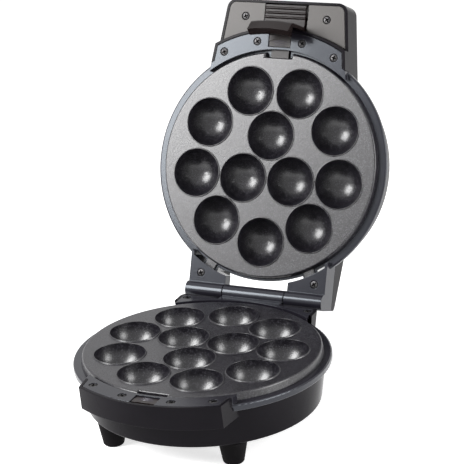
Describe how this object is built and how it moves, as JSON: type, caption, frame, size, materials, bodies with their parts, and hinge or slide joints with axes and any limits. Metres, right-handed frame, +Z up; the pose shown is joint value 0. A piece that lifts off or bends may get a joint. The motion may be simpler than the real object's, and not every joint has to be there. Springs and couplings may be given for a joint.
{
  "type": "cake pop maker",
  "caption": "Round countertop cake pop maker: hinged lid and base with matching plates of half-round cups, sprung latch on the lid's handle, rubber feet.",
  "frame": {"origin": "on the table under the middle of the open machine's outline", "axes": "+Z up, +Y toward the hinge, -Y toward the handle and the latch, +X to the right"},
  "size_m": [0.22, 0.3744, 0.3149],
  "materials": {
    "black_gloss": "gloss",
    "bezel_black": "satin gloss",
    "non_stick": "non-stick coat, satin",
    "latch_black": "gloss",
    "screw_black": "blackened",
    "bright_steel": "drawn",
    "bright_aluminium": "mill",
    "rubber_black": "matte",
    "terminal_white": "matte",
    "lens_red": "clear gloss",
    "spring_steel": "drawn wire"
  },
  "bodies": {
    "base": {"base_shell": "black_gloss", "base_bezel": "bezel_black", "lower_plate": "non_stick", "lower_heating_element": "bright_steel", "lower_element_clips": "bright_steel", "lower_reflector": "bright_steel", "lower_pan_screws": "bright_steel", "thermostat": "bright_steel", "thermal_fuse": "bright_aluminium", "terminal_block": "terminal_white", "cord_gland": "rubber_black", "rubber_feet": "rubber_black", "foot_screws": "bright_steel", "base_tab_screws": "screw_black", "base_hinge_screws": "screw_black", "hinge_pins": "bright_steel"},
    "lid": {"lid_shell": "black_gloss", "lid_bezel": "bezel_black", "handle_cover": "bezel_black", "upper_plate": "non_stick", "upper_heating_element": "bright_steel", "upper_element_clips": "bright_steel", "upper_reflector": "bright_aluminium", "upper_pan_screws": "bright_steel", "lid_tab_screws": "screw_black", "lid_hinge_screws": "screw_black", "handle_cover_screws": "screw_black", "indicator_lenses": "lens_red", "latch_pin": "bright_steel"},
    "latch": {"latch": "latch_black", "latch_spring": "spring_steel"},
    "upper_release": {"upper_plate_release": "bezel_black"},
    "lower_release": {"lower_plate_release": "bezel_black"}
  },
  "joints": [
    {"name": "lid_hinge", "type": "hinge", "parent": "base", "child": "lid", "pos_m": [0, 0.0553, 0.068], "axis": [1, 0, 0], "range_deg": [0, 111]},
    {"name": "latch_pivot", "type": "hinge", "parent": "lid", "child": "latch", "pos_m": [0, 0.15983, 0.29566], "axis": [-1, 0, 0], "range_deg": [0, 10.5], "stiffness_Nm_per_rad": 0.4, "springref_deg": -11.46},
    {"name": "upper_release_slide", "type": "slide", "parent": "lid", "child": "upper_release", "axis": [0, 0.3584, 0.9336], "range_m": [0, 0.0025], "stiffness_N_per_m": 300, "springref_m": -0.002},
    {"name": "lower_release_slide", "type": "slide", "parent": "base", "child": "lower_release", "axis": [0, -1, 0], "range_m": [0, 0.0025], "stiffness_N_per_m": 300, "springref_m": -0.002}
  ]
}
